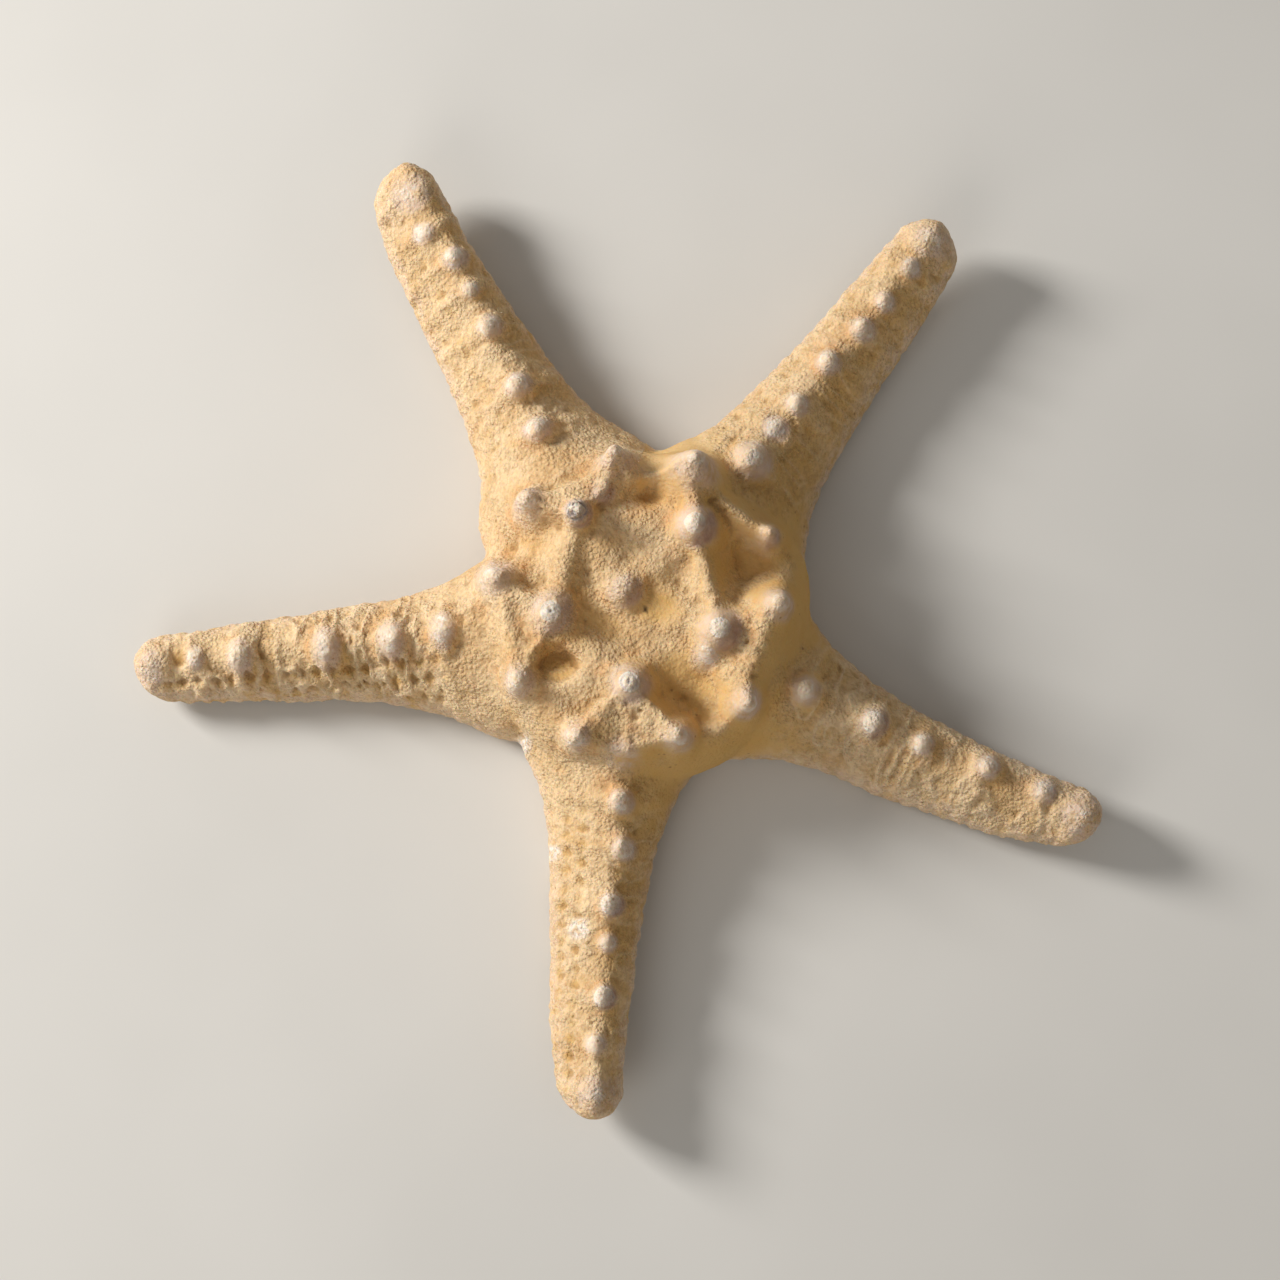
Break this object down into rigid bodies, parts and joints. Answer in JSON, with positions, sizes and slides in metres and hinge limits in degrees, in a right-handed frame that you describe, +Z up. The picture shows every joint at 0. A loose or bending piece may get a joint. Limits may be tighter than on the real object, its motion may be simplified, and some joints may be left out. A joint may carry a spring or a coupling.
{
  "type": "dried starfish",
  "caption": "Dried knobbly sea star with tapering arms, horned disc and open furrows underneath; a beach find that lies flat on a shelf or table.",
  "frame": {"origin": "middle of the footprint, on the surface that the starfish lies on", "axes": "+Z up out of the knobbly upper side, +Y towards the bay between the two upper arms, +X to the right seen from above"},
  "size_m": [0.1007, 0.0999, 0.0197],
  "materials": {
    "dried_skin": "dry, sandy and granular, with paler knobs"
  },
  "bodies": {
    "root": {"starfish": "dried_skin"}
  },
  "joints": []
}
